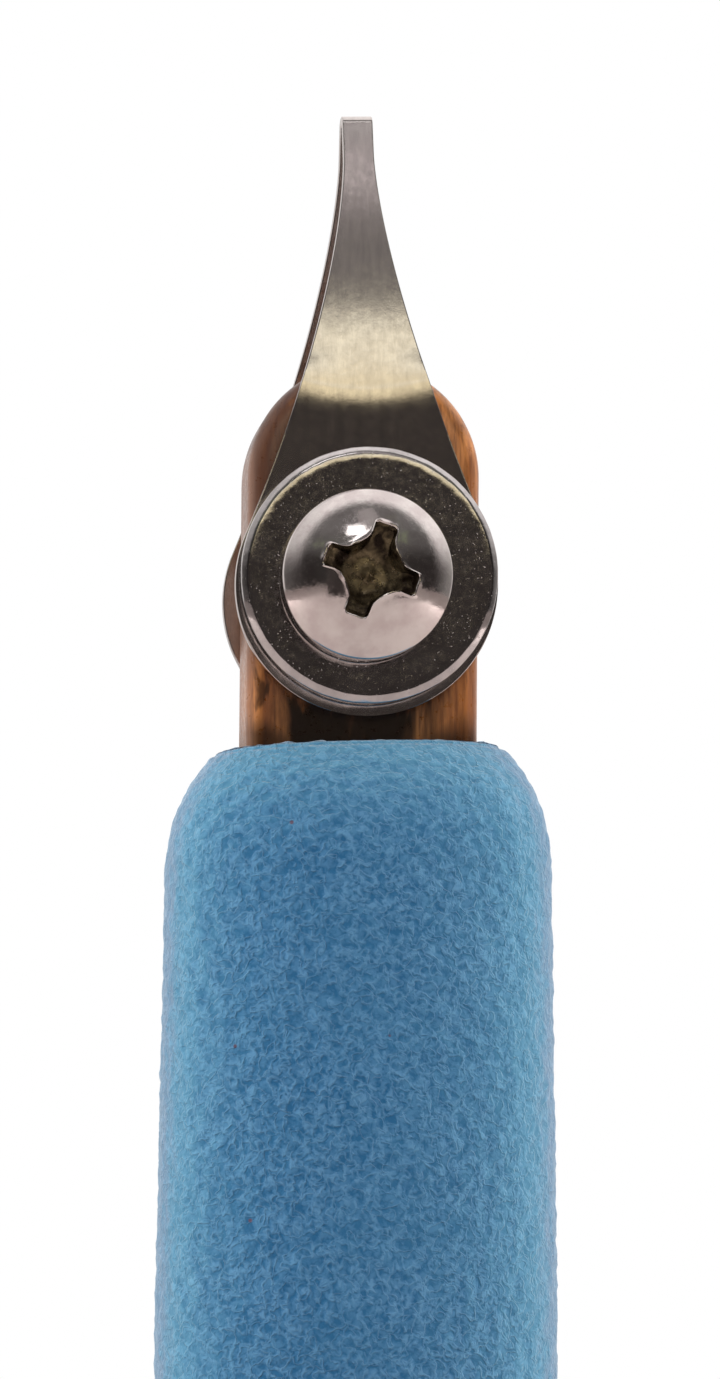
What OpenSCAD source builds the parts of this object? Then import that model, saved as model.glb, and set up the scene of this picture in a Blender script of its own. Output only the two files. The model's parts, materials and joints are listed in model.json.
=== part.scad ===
// Loop-blade lino cutter: a flat wooden core in a foam sleeve, with a folded
// ribbon blade clamped across its head by one screw, washers and a nut.
// +Z runs along the tool towards the blade, the screw head faces -Y, and the
// origin is the centre of the butt's flat end.

/* [Foam sleeve] */
// Length of the sleeve along the tool
foam_length = 114; // [90:1:140]
// Width of the sleeve across the flat of the core, at its fullest
foam_width = 22.6; // [20:0.1:26]
// Depth of the sleeve from front to back, at its fullest
foam_depth = 15.2; // [13:0.1:18]
// Length of the ground shoulder at the head end
shoulder_length = 8; // [5:0.5:12]
// How far the shoulder draws in on each side
shoulder_inset = 2.9; // [1.5:0.05:3.2]
// Rounding of the edge at the butt end
butt_round = 2.2; // [1:0.1:3]
// How much each side of the sleeve draws in between its fullest part and the shoulder
body_taper = 0.55; // [0:0.05:0.7]

/* [Wooden core] */
// Width of the flat core
core_width = 13; // [12:0.1:14]
// Thickness of the flat core
core_thickness = 4.8; // [4:0.1:6]
// Rounding along the core's long edges
core_edge = 1.1; // [0.5:0.1:1.8]
// Height of the screw axis above the sleeve's head end
axis_above_foam = 9; // [8.6:0.1:12]
// Height of the core's rounded end above the screw axis
end_above_axis = 12.7; // [11.5:0.1:14]
// Slope, in degrees, of each face where the core thins towards its end
face_slope = 2; // [1.8:0.1:3]
// Offset of the screw hole from the core's centre line, as drilled by hand
screw_x = -0.35; // [-0.4:0.05:0.4]

/* [Ribbon blade] */
// Thickness of the steel ribbon
blade_thickness = 0.5; // [0.4:0.05:0.6]
// Height of the blade's tip above the screw axis
tip_above_axis = 26.9; // [25:0.1:28]
// Width of the ribbon at its folded tip
tip_width = 1.7; // [1.5:0.1:2.2]
// Height of the crease where each leg starts to lean in
crease_above_axis = 10.2; // [9.9:0.1:10.8]
// Lean of each leg, in degrees, just above the crease
crease_lean = 4; // [3.5:0.1:5]
// Outside radius of the fold at the tip
fold_radius = 0.62; // [0.6:0.01:0.7]
// Radius of the round foot that the screw clamps
lobe_radius = 7.35; // [7.15:0.05:7.6]
// Length of the parallel neck below the tip
neck_length = 2.4; // [1:0.1:4]
// How far the round foot sits below the screw axis
lobe_drop = 0.1; // [0:0.05:0.3]
// Turn of the blade about the screw at rest, in degrees, positive to the left
blade_turn = 0.8; // [0:0.1:2]

/* [Fasteners] */
// Outside diameter of both flat washers
washer_outer = 14.3; // [14:0.1:14.6]
// Hole diameter of both flat washers
washer_hole = 6.3; // [6.2:0.1:6.5]
// Thickness of both flat washers
washer_thickness = 1.24; // [1.1:0.02:1.4]
// Diameter of the screw head
head_diameter = 9.5; // [9.2:0.1:9.8]
// Height of the screw head
head_height = 3; // [2.8:0.1:3.4]
// Outside diameter of the screw thread
thread_diameter = 4.83; // [4.8:0.01:4.86]
// Length of the screw under its head
screw_length = 12.7; // [12.6:0.1:13.5]
// Thickness of the flattened spring washer
spring_thickness = 1.1; // [1:0.05:1.2]
// Size of the nut across its flats
nut_across_flats = 9.5; // [9.3:0.1:9.6]
// Thickness of the nut
nut_thickness = 3.2; // [3:0.1:3.3]

/* [Hidden] */
$fn = 96;
eps = 0.01;

axis_z = foam_length + axis_above_foam;
core_top = axis_z + end_above_axis;
core_end_z = core_top - core_width / 2;
core_face = core_thickness / 2;
core_hole = 5.2;
glue_gap = 0.05;
// where along the sleeve it is fullest, and how sharply its shoulder turns in
fullest = 0.73;
shoulder_power = 2.8;
// radius of the arc at each side of the sleeve's section, as a share of half its depth
side_arc = 0.72;

blade_hole = 5.5;
leg_face = core_face + blade_thickness;
washer_face = leg_face + washer_thickness;
washer_round = 0.5;
// the washers' holes are wide, so they sit a little off the screw: [sideways, up]
washer_shift = [-screw_x, 0.25];

dome_radius = 7.4;
head_edge = 0.3;
recess_depth = 1.9;
recess_radius = 2.65;
recess_wing = 1.25;
recess_hub = 2.2;
// radius at the recess's bottom as a share of the radius at its mouth
recess_taper = 0.55;
recess_turn = -19;

pitch = 0.794;
thread_root = 3.9;
thread_crest = 0.16 * pitch;
thread_start = 0.5;
screw_end_taper = 0.4;
thread_play = 0.04;

spring_outer = 8.5;
spring_hole = 5.1;
spring_split = 0.5;
split_slant = 25;
nut_mouth = 0.4;
// where the nut's faces start to fall away, as a share of half the size across its flats
nut_face = 0.97;

// A half outline carried on round its mirror image in the vertical axis
function mirrored(points) = [for (i = [len(points) - 1 : -1 : 0]) [-points[i][0], points[i][1]]];

// ---- foam sleeve ----

// Cross-section: two wide arcs front and back, joined by a tighter arc at each side
module oval(half_width, half_depth) {
    side = side_arc * half_depth;
    side_x = half_width - side;
    wide = (pow(side_x, 2) + pow(half_depth, 2) - pow(side, 2)) / (2 * (half_depth - side));
    join_x = side_x * wide / (wide - side);
    intersection() {
        translate([0, half_depth - wide]) circle(wide);
        translate([0, wide - half_depth]) circle(wide);
        square([2 * join_x, 3 * half_depth], center = true);
    }
    for (x = [-side_x, side_x]) translate([x, 0]) circle(side);
}

// Outline of the sleeve seen square on, for a given half-size: a small quarter
// round at the butt, a body that narrows very slightly, and a shoulder at the
// head that draws in by a power of the distance from where it starts
module sleeve_outline(half_size) {
    steps = 10;
    butt_step = 18;
    body_half = half_size - body_taper;
    shoulder_z = foam_length - shoulder_length;
    butt = [for (a = [0 : butt_step : 90]) [half_size - butt_round * (1 - sin(a)), butt_round * (1 - cos(a))]];
    head = [for (i = [0 : steps]) [body_half - shoulder_inset * pow(i / steps, shoulder_power),
                                   shoulder_z + shoulder_length * i / steps]];
    edge = concat(butt, [[half_size, fullest * foam_length]], head);
    polygon(concat(edge, mirrored(edge)));
}

module foam_grip() {
    color("steelblue")
    difference() {
        intersection() {
            linear_extrude(foam_length) oval(foam_width / 2, foam_depth / 2);
            rotate([90, 0, 0]) linear_extrude(2 * foam_depth, center = true)
                sleeve_outline(foam_width / 2);
            rotate([90, 0, 90]) linear_extrude(2 * foam_width, center = true)
                sleeve_outline(foam_depth / 2);
        }
        translate([0, 0, -1]) linear_extrude(foam_length + 2) core_section(glue_gap);
    }
}

// ---- wooden core ----

module rounded_rectangle(width, depth, radius) {
    square([width - 2 * radius, depth], center = true);
    square([width, depth - 2 * radius], center = true);
    for (x = [-1, 1], y = [-1, 1])
        translate([x * (width / 2 - radius), y * (depth / 2 - radius)]) circle(radius, $fn = 48);
}

module core_section(gap) {
    rounded_rectangle(core_width + 2 * gap, core_thickness + 2 * gap, core_edge);
}

// The core's outline seen from the side, thinning above the washers
module core_side() {
    slope_z = axis_z + washer_outer / 2;
    thin = (core_top - slope_z) * tan(face_slope);
    polygon([[-core_face, -eps], [core_face, -eps], [core_face, slope_z], [core_face - thin, core_top],
             [thin - core_face, core_top], [-core_face, slope_z]]);
}

// A disc on a front-to-back axis whose rim has the same rounding as the long edges
module rounded_end() {
    radius = core_width / 2;
    translate([0, 0, core_end_z]) rotate([90, 0, 0]) rotate_extrude()
        intersection() {
            rounded_rectangle(core_width, core_thickness, core_edge);
            translate([0, -core_thickness]) square([radius, 2 * core_thickness]);
        }
}

module core_stick() {
    color("peru")
    difference() {
        intersection() {
            union() {
                linear_extrude(core_end_z) core_section(0);
                rounded_end();
            }
            rotate([90, 0, 90]) translate([0, 0, -core_width])
                linear_extrude(2 * core_width) core_side();
        }
        along_screw(core_hole / 2, core_thickness + 2);
    }
}

// A cylinder centred on the core, on the screw axis
module along_screw(radius, length) {
    translate([screw_x, 0, axis_z]) rotate([90, 0, 0]) cylinder(r = radius, h = length, center = true);
}

// ---- ribbon blade ----

// From the neck down, each edge flares out by a power of the distance, at the
// rate that makes it run into the round foot where the foot leans at meet_angle.
neck_z = tip_above_axis - neck_length;
flare_power = 1.55;
meet_angle = 22;
meet_x = lobe_radius * cos(meet_angle);
meet_z = lobe_radius * sin(meet_angle) - lobe_drop;
flare_rate = (meet_x - tip_width / 2) / pow(neck_z - meet_z, flare_power);
function half_width(z) = tip_width / 2 + flare_rate * pow(neck_z - z, flare_power);

module blade_outline() {
    steps = 20;
    heights = [for (i = [0 : steps]) meet_z + (neck_z - meet_z) * i / steps];
    edge = concat([for (z = heights) [half_width(z), z]], [[tip_width / 2, tip_above_axis + 1]]);
    difference() {
        union() {
            translate([0, -lobe_drop]) circle(lobe_radius);
            polygon(concat(edge, mirrored(edge)));
        }
        translate([screw_x, 0]) circle(blade_hole / 2);
    }
}

// Side view of one leg as a band of the ribbon's thickness: straight on the core,
// then an arc from the crease to the fold. depth is 0 on its outer face.
fold_z = tip_above_axis - fold_radius;
fold_lean = 2 * atan((leg_face - fold_radius) / (fold_z - crease_above_axis)) - crease_lean;
arc_start = [leg_face, crease_above_axis];
arc_end = [fold_radius * cos(fold_lean), fold_z + fold_radius * sin(fold_lean)];
leg_arc = norm(arc_end - arc_start) / (2 * sin((fold_lean - crease_lean) / 2));

function leg_point(lean, depth) = [
    leg_face - leg_arc * (cos(crease_lean) - cos(lean)) - depth * cos(lean),
    crease_above_axis + leg_arc * (sin(lean) - sin(crease_lean)) - depth * sin(lean)];
function fold_point(angle, radius) = [radius * cos(angle), fold_z + radius * sin(angle)];

module loop_band() {
    leans = [for (i = [0 : 16]) crease_lean + (fold_lean - crease_lean) * i / 16];
    angles = [for (i = [1 : 8]) fold_lean + (90 - fold_lean) * i / 8];
    outer = concat([[leg_face, -2 * lobe_radius]], [for (a = leans) leg_point(a, 0)],
                   [for (a = angles) fold_point(a, fold_radius)]);
    inner_fold = fold_radius - blade_thickness;
    inner = concat([[core_face, -2 * lobe_radius], [core_face, crease_above_axis]],
                   [for (a = leans) if (a > crease_lean) leg_point(a, blade_thickness)],
                   [for (a = angles) fold_point(a, inner_fold)]);
    difference() {
        polygon(concat(outer, mirrored(outer)));
        polygon(concat(inner, mirrored(inner)));
    }
}

module ribbon_blade() {
    color("silver")
    translate([screw_x, 0, axis_z]) rotate([0, -blade_turn, 0]) translate([-screw_x, 0, 0])
    intersection() {
        rotate([90, 0, 0]) linear_extrude(4 * core_thickness, center = true) blade_outline();
        rotate([90, 0, 90]) linear_extrude(4 * lobe_radius, center = true) loop_band();
    }
}

// ---- fasteners, each drawn along +Z with its clamping face at z = 0 ----

module flat_washer() {
    difference() {
        rotate_extrude() intersection() {
            rounded_rectangle(washer_outer, 2 * washer_thickness, washer_round);
            square([washer_outer / 2, washer_thickness]);
        }
        translate([0, 0, -1]) cylinder(d = washer_hole, h = washer_thickness + 2);
    }
}

// Puts a fastener on the front of the stack, facing -Y, at a given distance
module on_front(distance, shift = [0, 0]) {
    translate([screw_x + shift[0], -distance, axis_z + shift[1]]) rotate([90, 0, 0]) children();
}

// Puts a fastener on the back of the stack, facing +Y, at a given distance
module on_back(distance, shift = [0, 0]) {
    translate([screw_x + shift[0], distance, axis_z + shift[1]]) rotate([-90, 0, 0]) children();
}

module front_washer() {
    color("gray") on_front(leg_face, washer_shift) flat_washer();
}

module back_washer() {
    color("gray") on_back(leg_face, washer_shift) flat_washer();
}

// Half section of the pan head: a straight rim under a dome, joined by a small
// arc that touches both. wedge is the part of the dome inside that arc's centre.
module head_profile() {
    dome_z = head_height - dome_radius;
    edge_x = head_diameter / 2 - head_edge;
    edge_z = dome_z + sqrt(pow(dome_radius - head_edge, 2) - pow(edge_x, 2));
    wedge = [[0, dome_z], [0, dome_z + 2 * dome_radius], [2 * edge_x, dome_z + 2 * (edge_z - dome_z)]];
    intersection() {
        union() {
            square([head_diameter / 2, edge_z]);
            translate([edge_x, edge_z]) circle(head_edge, $fn = 48);
            polygon(wedge);
        }
        translate([0, dome_z]) circle(dome_radius, $fn = 180);
        square([head_diameter, head_height]);
    }
}

// Cross recess: four wings and a round core, both narrowing towards the bottom
module cross_recess() {
    translate([0, 0, head_height - recess_depth]) rotate([0, 0, recess_turn])
    intersection() {
        cylinder(r1 = recess_taper * recess_radius, r2 = recess_radius, h = recess_depth);
        union() {
            cube([3 * recess_radius, recess_wing, 4 * recess_depth], center = true);
            cube([recess_wing, 3 * recess_radius, 4 * recess_depth], center = true);
            cylinder(d = recess_hub, h = recess_depth + 1);
        }
    }
}
// Half section of the threaded shank as a row of ridges, one to each pitch
function ridge(top) = [[thread_root / 2, top], [thread_diameter / 2, top - (pitch - thread_crest) / 2],
                       [thread_diameter / 2, top - (pitch + thread_crest) / 2]];

module shank_profile() {
    head_root = 0.6;
    ridges = floor((screw_length - thread_start - screw_end_taper) / pitch);
    polygon(concat([[0, head_root], [thread_root / 2, head_root]],
                   [for (i = [0 : ridges - 1]) each ridge(-thread_start - i * pitch)],
                   [[thread_root / 2, -thread_start - ridges * pitch],
                    [thread_root / 2, -screw_length + screw_end_taper],
                    [thread_root / 2 - screw_end_taper, -screw_length], [0, -screw_length]]));
}

module clamp_screw() {
    color("gainsboro") on_front(washer_face)
    difference() {
        union() {
            rotate_extrude() head_profile();
            rotate_extrude() shank_profile();
        }
        cross_recess();
    }
}

module spring_washer() {
    color("dimgray") on_back(washer_face)
    difference() {
        cylinder(d = spring_outer, h = spring_thickness);
        translate([0, 0, -1]) cylinder(d = spring_hole, h = spring_thickness + 2);
        translate([spring_outer / 2, 0, spring_thickness / 2]) rotate([split_slant, 0, 0])
            cube([spring_outer, spring_split, 4 * spring_thickness], center = true);
    }
}

// Half section that takes the nut's corners off at 30 degrees on both faces
module nut_profile() {
    corner = nut_across_flats / 2 / cos(30);
    bevel = corner - nut_face * nut_across_flats / 2;
    drop = bevel * tan(30);
    polygon([[0, 0], [corner - bevel, 0], [corner, drop], [corner, nut_thickness - drop],
             [corner - bevel, nut_thickness], [0, nut_thickness]]);
}

module hex_nut() {
    thread_hole = thread_diameter / 2 + thread_play;
    color("silver") on_back(washer_face + spring_thickness)
    difference() {
        intersection() {
            cylinder(d = nut_across_flats / cos(30), h = nut_thickness, $fn = 6);
            rotate_extrude() nut_profile();
        }
        translate([0, 0, -1]) cylinder(r = thread_hole, h = nut_thickness + 2);
        translate([0, 0, -eps]) cylinder(r1 = thread_hole + nut_mouth, r2 = thread_hole, h = nut_mouth);
        translate([0, 0, nut_thickness - nut_mouth + eps])
            cylinder(r1 = thread_hole, r2 = thread_hole + nut_mouth, h = nut_mouth);
    }
}

foam_grip();
core_stick();
ribbon_blade();
front_washer();
clamp_screw();
back_washer();
spring_washer();
hex_nut();
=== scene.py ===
"""A loop-blade lino cutter: foam sleeve, lacquered core, folded blade and its clamping hardware.

Shapes are worked out in millimetres on the screw's axis and turned into metres when a mesh is made.
"""
import json
import math

import bmesh
import bpy
import numpy as np
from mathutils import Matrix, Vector, noise


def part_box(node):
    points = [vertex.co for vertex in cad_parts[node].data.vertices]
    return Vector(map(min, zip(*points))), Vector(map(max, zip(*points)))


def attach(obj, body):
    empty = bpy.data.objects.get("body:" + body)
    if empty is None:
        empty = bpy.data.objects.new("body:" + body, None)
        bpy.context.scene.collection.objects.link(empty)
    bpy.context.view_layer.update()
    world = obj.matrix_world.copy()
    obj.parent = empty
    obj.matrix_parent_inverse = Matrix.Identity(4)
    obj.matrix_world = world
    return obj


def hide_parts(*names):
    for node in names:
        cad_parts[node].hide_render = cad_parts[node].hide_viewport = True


MM = 0.001

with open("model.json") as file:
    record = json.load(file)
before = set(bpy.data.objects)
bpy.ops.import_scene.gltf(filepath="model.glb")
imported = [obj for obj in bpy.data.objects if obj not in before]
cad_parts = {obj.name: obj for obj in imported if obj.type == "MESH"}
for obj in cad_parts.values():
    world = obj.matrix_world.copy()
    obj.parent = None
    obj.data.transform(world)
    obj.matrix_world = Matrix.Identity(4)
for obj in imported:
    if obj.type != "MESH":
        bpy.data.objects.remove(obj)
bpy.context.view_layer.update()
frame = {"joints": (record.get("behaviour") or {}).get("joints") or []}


def box_mm(node):
    """Lowest and highest corner of a CAD node, in millimetres"""
    low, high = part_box(node)
    return np.array(low) / MM, np.array(high) / MM


# ---- places and sizes read from the frame, and the thread's pitch ----

SWING = next(joint for joint in frame["joints"] if joint["name"] == "blade_swing")
AXIS_X, _, AXIS_Z = np.array(SWING["pos_m"]) / MM
_, SLEEVE_HIGH = box_mm("foam_grip")
_, CORE_HIGH = box_mm("core_stick")
BLADE_LOW, BLADE_HIGH = box_mm("ribbon_blade")
WASHER_LOW, WASHER_HIGH = box_mm("front_washer")
_, SCREW_HIGH = box_mm("clamp_screw")
SPRING_LOW, SPRING_HIGH = box_mm("spring_washer")
NUT_LOW, NUT_HIGH = box_mm("hex_nut")

CORE_HALF_WIDTH = CORE_HIGH[0]
CORE_FACE = CORE_HIGH[1]
LEG_FACE = -WASHER_HIGH[1]
WASHER_FACE = -WASHER_LOW[1]
PITCH = 0.794


# ---- mesh helpers ----


def make_object(name, points, faces):
    """A mesh object from points in millimetres"""
    mesh = bpy.data.meshes.new(name)
    mesh.from_pydata((np.asarray(points, float) * MM).tolist(), [], faces)
    made = bpy.data.objects.new(name, mesh)
    bpy.context.scene.collection.objects.link(made)
    return made


def quads(rows, columns, wrap_rows=False):
    """Faces that join rows of points into a surface which closes on itself along each row"""
    last = rows if wrap_rows else rows - 1
    faces = []
    for row in range(last):
        here, there = row * columns, (row + 1) % rows * columns
        for column in range(columns):
            beside = (column + 1) % columns
            faces.append((here + column, here + beside, there + beside, there + column))
    return faces


def ring_surface(name, rings, closed=True):
    """A solid from rings of points: the last ring joins the first, or both ends get a cap"""
    rings = np.asarray(rings, float)
    rows, columns = rings.shape[:2]
    faces = quads(rows, columns, wrap_rows=closed)
    if not closed:
        faces += [tuple(range(columns)), tuple(range((rows - 1) * columns, rows * columns))]
    return make_object(name, rings.reshape(-1, 3), faces)


def face_outwards(piece):
    """Turns every face of a closed mesh outwards and drops doubled points"""
    work = bmesh.new()
    work.from_mesh(piece.data)
    bmesh.ops.remove_doubles(work, verts=work.verts, dist=0.0005 * MM)
    bmesh.ops.dissolve_degenerate(work, edges=work.edges, dist=0.0002 * MM)
    bmesh.ops.recalc_face_normals(work, faces=work.faces)
    work.to_mesh(piece.data)
    work.free()


def apply_modifiers(piece):
    """Makes a piece's modifiers part of its mesh"""
    graph = bpy.context.evaluated_depsgraph_get()
    shaped = bpy.data.meshes.new_from_object(piece.evaluated_get(graph))
    piece.modifiers.clear()
    piece.data = shaped


def drill(piece, radius, reach):
    """Cuts a round hole front to back through a piece, on the screw's axis"""
    around = np.linspace(0, 2 * math.pi, 96, endpoint=False)
    ends = [[(AXIS_X + radius * math.cos(a), y, AXIS_Z + radius * math.sin(a)) for a in around]
            for y in (-reach, reach)]
    cutter = ring_surface("cutter", ends, closed=False)
    face_outwards(cutter)
    cut = piece.modifiers.new("hole", "BOOLEAN")
    cut.operation = "DIFFERENCE"
    cut.solver = "EXACT"
    cut.object = cutter
    apply_modifiers(piece)
    bpy.data.objects.remove(cutter)


def finish_piece(piece, material, body, node, sharp_angle=30):
    """Gives a piece its material and shading and stands it in for its CAD node"""
    piece.data.materials.clear()
    piece.data.materials.append(material)
    piece.data.shade_smooth()
    piece.data.set_sharp_from_angle(angle=math.radians(sharp_angle))
    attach(piece, body)
    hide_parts(node)


def smooth_step(value, low, high):
    """0 at low, 1 at high and smooth between; low may be the larger"""
    share = np.clip((value - low) / (high - low), 0, 1)
    return share * share * (3 - 2 * share)


def noise_at(points, wavelength, seed):
    """Smooth noise between about -1 and 1 at points in millimetres"""
    shift = Vector((seed * 17.3, seed * 5.1, seed * 9.7))
    return np.array([noise.noise(Vector(p) / wavelength + shift) for p in points])


# ---- foam sleeve ----

RIM_HEIGHT = SLEEVE_HIGH[2]
SHOULDER_LENGTH = 8.0
SHOULDER_INSET = 2.75
SHOULDER_POWER = 2.7
TAPER = 0.42
TAPER_LENGTH = 32.0
BUTT_ROUND = 2.2
RIM_ROUND = 0.3
RIM_SLOPE = 0.026
SLEEVE_LEAN = 0.0085
LEAN_LENGTH = 40.0
SLOT_HALF = np.array([CORE_HALF_WIDTH + 0.05, CORE_FACE + 0.05])
SLOT_CORNER = 1.1
# (height, size, seed) of the lumps in the foam's skin
SKIN_LUMPS = [(0.1, 0.6, 1), (0.03, 1.3, 2), (0.04, 6.0, 3)]


def oval_points(count):
    """Points at even steps round an oval that reaches 1 on both axes"""
    power = 2 / 2.2
    turn = np.linspace(0, 2 * math.pi, 4001)
    x = np.sign(np.cos(turn)) * np.abs(np.cos(turn)) ** power
    y = np.sign(np.sin(turn)) * np.abs(np.sin(turn)) ** power
    steps = np.hypot(np.diff(x * SLEEVE_HIGH[0]), np.diff(y * SLEEVE_HIGH[1]))
    travelled = np.concatenate([[0], np.cumsum(steps)])
    wanted = np.linspace(0, travelled[-1], count, endpoint=False)
    return np.stack([np.interp(wanted, travelled, x), np.interp(wanted, travelled, y)], 1)


def rounded_rectangle(half, corner, directions):
    """Where rays along the directions leave a rounded rectangle with these half sizes"""
    inner = half - corner
    points = []
    for direction in directions / np.linalg.norm(directions, axis=1)[:, None]:
        low, high = 0.0, float(np.linalg.norm(half)) + corner
        for _ in range(40):
            middle = (low + high) / 2
            beyond = np.maximum(np.abs(direction * middle) - inner, 0)
            inside = np.hypot(*beyond) < corner
            low, high = (middle, high) if inside else (low, middle)
        points.append(direction * low)
    return np.array(points)


def sleeve_inset(height):
    """How far the sleeve's surface lies inside its fullest outline at a height"""
    below = RIM_HEIGHT - height
    shoulder = np.clip(1 - below / SHOULDER_LENGTH, 0, 1) ** SHOULDER_POWER * SHOULDER_INSET
    taper = TAPER * np.clip(1 - (below - SHOULDER_LENGTH) / (TAPER_LENGTH - SHOULDER_LENGTH), 0, 1)
    butt = np.clip(1 - height / BUTT_ROUND, 0, 1)
    return shoulder + taper + BUTT_ROUND * (1 - np.sqrt(1 - butt**2))


def sleeve_profile(spacing):
    """(share of the way out from the slot, inset, height) of each ring: up the slot, down the outside"""
    inside = [(0, 0, z) for z in np.linspace(0.4, RIM_HEIGHT - 0.4, 12)]
    rim_inset = sleeve_inset(RIM_HEIGHT)
    top = [(share, rim_inset, RIM_HEIGHT) for share in np.linspace(0, 0.9, 9)]
    edge = [(1, rim_inset + RIM_ROUND * (1 - math.sin(turn)), RIM_HEIGHT - RIM_ROUND * (1 - math.cos(turn)))
            for turn in np.radians([10, 35, 60, 82])]
    below = [RIM_ROUND]
    while below[-1] < RIM_HEIGHT - 0.3:
        below.append(below[-1] + spacing * (0.42 + 0.58 * min(below[-1] / SHOULDER_LENGTH, 1)))
    outside = [(1, sleeve_inset(RIM_HEIGHT - depth), RIM_HEIGHT - depth) for depth in below]
    bottom = [(share, sleeve_inset(0.02), 0.02) for share in np.linspace(1, 0, 8)]
    return inside + top + edge + outside + bottom


def foam_sleeve(material):
    """The foam sleeve: a cut-off tube with a ground shoulder and a fine wrinkled skin"""
    columns, spacing = 220, 0.284
    oval = oval_points(columns)
    slot = rounded_rectangle(SLOT_HALF, SLOT_CORNER, oval * SLEEVE_HIGH[:2])
    rings = []
    outward = []
    for share, inset, height in sleeve_profile(spacing):
        outer = oval * (SLEEVE_HIGH[:2] - inset)
        ring = slot * (1 - share) + outer * share
        rings.append(np.column_stack([ring, np.full(columns, height)]))
        normal = oval / (SLEEVE_HIGH[:2] - inset)
        normal /= np.linalg.norm(normal, axis=1)[:, None]
        outward.append(np.column_stack([normal * smooth_step(share, 0.3, 1), np.full(columns, 0.0)]))
    points = np.array(rings).reshape(-1, 3)
    outward = np.array(outward).reshape(-1, 3)
    skin = sum(height * noise_at(points, size, seed) for height, size, seed in SKIN_LUMPS)
    points += outward * (skin - 0.03)[:, None]
    on_top = (points[:, 2] > RIM_HEIGHT - 0.05) & (np.linalg.norm(outward, axis=1) < 0.9)
    points[:, 2] += np.where(on_top, 1.5 * skin, 0)
    near_rim = smooth_step(points[:, 2], RIM_HEIGHT - 12, RIM_HEIGHT)
    points[:, 2] += near_rim * RIM_SLOPE * points[:, 0]
    below = np.clip(RIM_HEIGHT - points[:, 2], 0, LEAN_LENGTH)
    points[:, 0] += np.linalg.norm(outward, axis=1) * SLEEVE_LEAN * below * (1 - below / (2 * LEAN_LENGTH))
    sleeve = ring_surface("foam_sleeve", points.reshape(len(rings), columns, 3))
    face_outwards(sleeve)
    finish_piece(sleeve, material, "handle", "foam_grip", sharp_angle=80)


# ---- wooden core ----

CORE_EDGE = 1.1
FACE_SLOPE = math.tan(math.radians(2))
SLOPE_START = AXIS_Z + 7.15
ROUND_CENTRE = CORE_HIGH[2] - CORE_HALF_WIDTH
CORE_HOLE = 2.6


def core_outline(half_width):
    """The core's outline seen square on, for a half width: up one side, round the end and down"""
    coarse = np.arange(0, RIM_HEIGHT - 3, 1.5)
    fine = np.linspace(RIM_HEIGHT - 3, ROUND_CENTRE, 48)
    heights = np.concatenate([coarse, fine])
    turn = np.linspace(math.pi, 0, 66)[1:-1]
    left = [(-half_width, z) for z in heights]
    over = [(half_width * math.cos(a), ROUND_CENTRE + half_width * math.sin(a)) for a in turn]
    right = [(half_width, z) for z in heights[::-1]]
    return np.array(left + over + right)


def core_rings():
    """Outlines of the core from the middle of its front face round the edge to the back face"""
    half_widths = list(np.linspace(0, CORE_HALF_WIDTH - CORE_EDGE, 22))
    depths = [CORE_FACE] * len(half_widths)
    for turn in np.radians(np.linspace(9, 90, 10)):
        half_widths.append(CORE_HALF_WIDTH - CORE_EDGE * (1 - math.sin(turn)))
        depths.append(CORE_FACE - CORE_EDGE * (1 - math.cos(turn)))
    for depth in (0.75, 0.4, 0.0):
        half_widths.append(CORE_HALF_WIDTH)
        depths.append(depth)
    front = list(zip(half_widths, [-d for d in depths]))
    back = list(zip(half_widths[:-1], depths[:-1]))[::-1]
    rings = []
    for half_width, depth in front + back:
        outline = core_outline(half_width)
        thinned = depth * (1 - FACE_SLOPE * np.clip(outline[:, 1] - SLOPE_START, 0, None) / CORE_FACE)
        rings.append(np.column_stack([outline[:, 0], thinned, outline[:, 1]]))
    return np.array(rings)


def wooden_core(material):
    """The flat core: round-ended, thinned at the head, with shallow grain under its lacquer"""
    rings = core_rings()
    rows, columns = rings.shape[:2]
    points = rings.reshape(-1, 3)
    along_grain = points * np.array([1, 1, 0.09])
    grain = 0.018 * noise_at(along_grain, 0.55, 4) + 0.03 * noise_at(along_grain, 1.9, 5)
    shown = smooth_step(points[:, 2], RIM_HEIGHT - 2, RIM_HEIGHT)
    clamped = 1 - 0.9 * (np.hypot(points[:, 0] - AXIS_X, points[:, 2] - AXIS_Z) < 7)
    points[:, 1] *= 1 + (grain - 0.035) * shown * clamped / CORE_FACE
    points[:, 0] += 0.5 * grain * shown * np.sign(points[:, 0]) * (np.abs(points[:, 0]) > 5.4)
    faces = []
    for row in range(rows - 1):
        for column in range(columns - 1):
            corner = row * columns + column
            faces.append((corner, corner + 1, corner + columns + 1, corner + columns))
    left = [row * columns for row in range(rows)]
    right = [row * columns + columns - 1 for row in range(rows - 2, 0, -1)]
    faces.append(tuple(left + right))
    core = make_object("wooden_core", points, faces)
    face_outwards(core)
    drill(core, CORE_HOLE, 10)
    finish_piece(core, material, "handle", "core_stick", sharp_angle=50)


# ---- folded ribbon blade ----

THICKNESS = 0.5
TIP_WIDTH = 1.7
NECK_LENGTH = 2.4
FLARE_POWER = 1.55
MEET_ANGLE = math.radians(22)
CREASE_HEIGHT = 10.0
CREASE_LEAN = math.radians(4)
CREASE_LENGTH = 1.5
CREASE_LIFT = 0.6
FOLD_RADIUS = 0.62
FOOT_RADIUS = (BLADE_HIGH[0] - BLADE_LOW[0]) / 2
FOOT_X = (BLADE_HIGH[0] + BLADE_LOW[0]) / 2
FOOT_DROP = AXIS_Z - BLADE_LOW[2] - FOOT_RADIUS
TIP_HEIGHT = BLADE_HIGH[2] - AXIS_Z
BLADE_TURN = math.radians(0.8)
BLADE_HOLE = 2.75


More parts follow.
